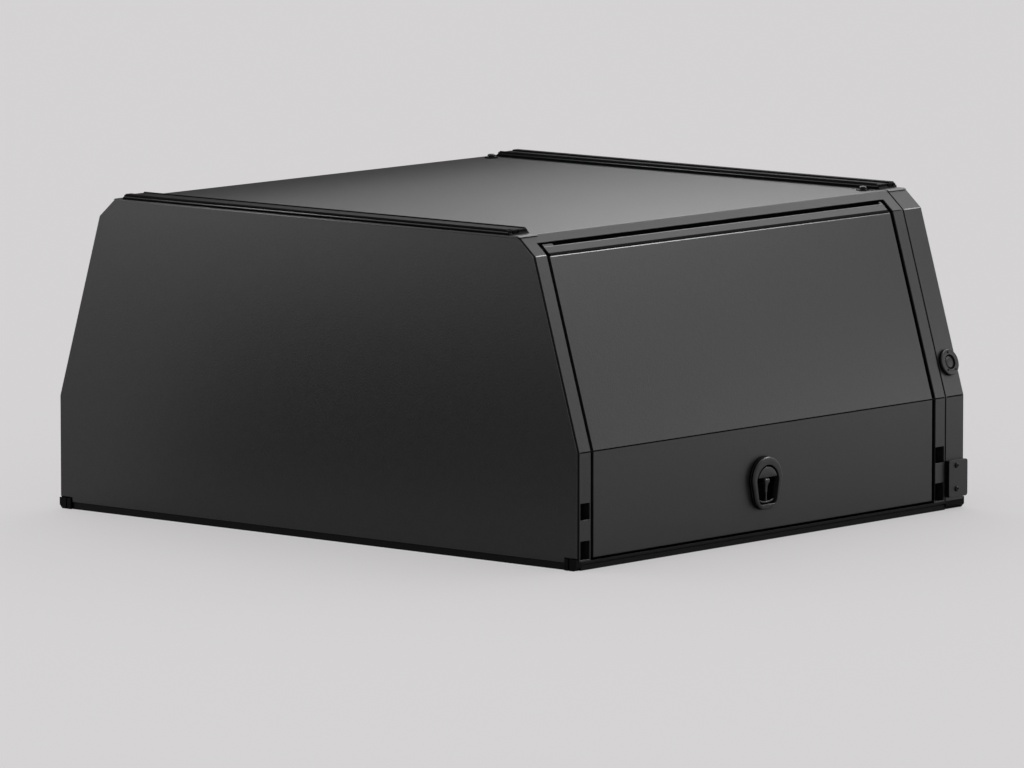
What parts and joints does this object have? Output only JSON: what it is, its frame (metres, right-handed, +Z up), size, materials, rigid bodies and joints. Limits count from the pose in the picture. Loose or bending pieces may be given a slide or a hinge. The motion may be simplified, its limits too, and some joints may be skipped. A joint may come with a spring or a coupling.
{
  "type": "pickup truck canopy",
  "caption": "Black aluminium tray canopy with leaning sides, a flat roof with cross rails and lift-up side doors with folding latches.",
  "frame": {"origin": "on the ground at the centre of the canopy's bounding box seen from above", "axes": "+X towards the vehicle's right side, +Y towards the vehicle's front, +Z up"},
  "size_m": [1.884, 1.628, 0.876],
  "materials": {
    "base_coat": "satin",
    "black_steel": "satin",
    "bracket_coat": "satin",
    "black_powder_coat": "satin",
    "seal_rubber": "matte",
    "foot_plastic": "matte",
    "latch_plastic": "satin",
    "zinc_steel": "satin",
    "latch_metal": "satin",
    "port_plastic": "satin",
    "rail_coat": "satin"
  },
  "bodies": {
    "canopy": {"base_rail_front": "base_coat", "base_rail_left": "base_coat", "base_rail_rear": "base_coat", "base_rail_right": "base_coat", "bracket_bolts": "black_steel", "bracket_left": "bracket_coat", "bracket_right": "bracket_coat", "door_leaf_left": "black_powder_coat", "door_ribs_left": "black_powder_coat", "door_seal_left": "seal_rubber", "door_seal_right": "seal_rubber", "door_skin_left": "black_powder_coat", "floor_bearers": "black_powder_coat", "floor_panel": "black_powder_coat", "foot_front_left": "foot_plastic", "foot_front_right": "foot_plastic", "foot_rear_left": "foot_plastic", "foot_rear_right": "foot_plastic", "front_gasket": "seal_rubber", "front_panel": "black_powder_coat", "front_strip_left": "black_powder_coat", "front_strip_right": "black_powder_coat", "header_left": "black_powder_coat", "header_right": "black_powder_coat", "latch_bezel_left": "latch_plastic", "latch_cam_left": "zinc_steel", "latch_cup_left": "latch_metal", "latch_handle_left": "latch_metal", "port_cap": "port_plastic", "port_flange": "port_plastic", "post_front_left": "black_powder_coat", "post_front_right": "black_powder_coat", "post_rear_left": "black_powder_coat", "post_rear_right": "black_powder_coat", "rear_gasket": "seal_rubber", "rear_panel": "black_powder_coat", "roof_bolts": "black_steel", "roof_bows": "black_powder_coat", "roof_panel": "black_powder_coat", "roof_rail_front": "rail_coat", "roof_rail_rear": "rail_coat", "top_rail_front": "black_powder_coat", "top_rail_rear": "black_powder_coat"},
    "door": {"door_leaf_right": "black_powder_coat", "door_ribs_right": "black_powder_coat", "door_skin_right": "black_powder_coat", "latch_bezel_right": "latch_plastic", "latch_cam_right": "zinc_steel", "latch_cup_right": "latch_metal"},
    "handle": {"latch_handle_right": "latch_metal"}
  },
  "joints": [
    {"name": "door_hinge", "type": "hinge", "parent": "canopy", "child": "door", "pos_m": [0.74676, 0, 0.82104], "axis": [0, -1, 0], "range_deg": [0, 85]},
    {"name": "handle_hinge", "type": "hinge", "parent": "door", "child": "handle", "pos_m": [0.9325, -0.0485, 0.162], "axis": [0, -1, 0], "range_deg": [0, 75]}
  ]
}
